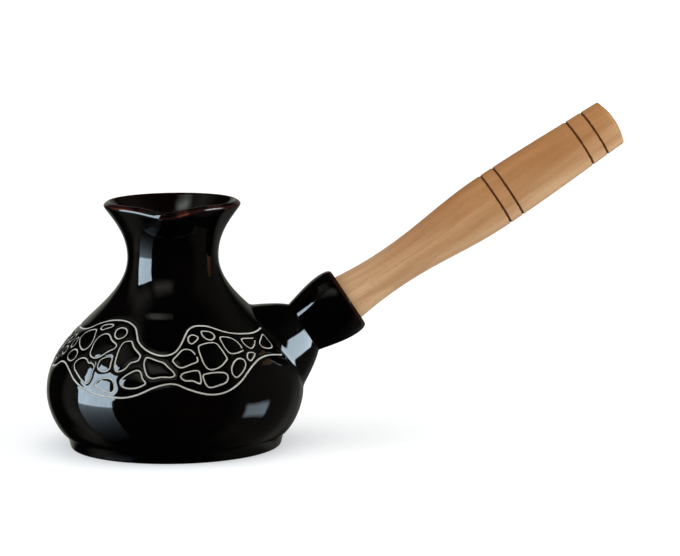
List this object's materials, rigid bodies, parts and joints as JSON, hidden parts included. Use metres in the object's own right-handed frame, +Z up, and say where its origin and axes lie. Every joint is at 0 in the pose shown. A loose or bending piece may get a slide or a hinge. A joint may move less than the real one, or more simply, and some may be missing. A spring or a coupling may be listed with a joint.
{
  "type": "turkish coffee pot",
  "caption": "Glazed ceramic coffee pot with a round belly, narrow neck and pinched pouring spout, and a turned wooden handle pushed into a flared socket on its shoulder.",
  "frame": {"origin": "centre of the pot's flat base, on the surface it stands on", "axes": "+Z up along the pot's axis; +X towards the side that the handle leans out over; the spout points to about -Y"},
  "size_m": [0.2605, 0.1147, 0.1497],
  "materials": {
    "black_glaze": "glossy black glaze over red-brown clay, with thin lines carved through to cream slip",
    "socket_glaze": "glossy black glaze over red-brown clay",
    "beech": "turned and sanded beech, oiled, with burnt rings"
  },
  "bodies": {
    "pot": {"pot_body": "black_glaze", "handle_socket": "socket_glaze"},
    "handle": {"wooden_handle": "beech"}
  },
  "joints": [
    {"name": "handle_pull", "type": "slide", "parent": "pot", "child": "handle", "axis": [0.8425, 0, 0.5388], "range_m": [0, 0.045]}
  ]
}
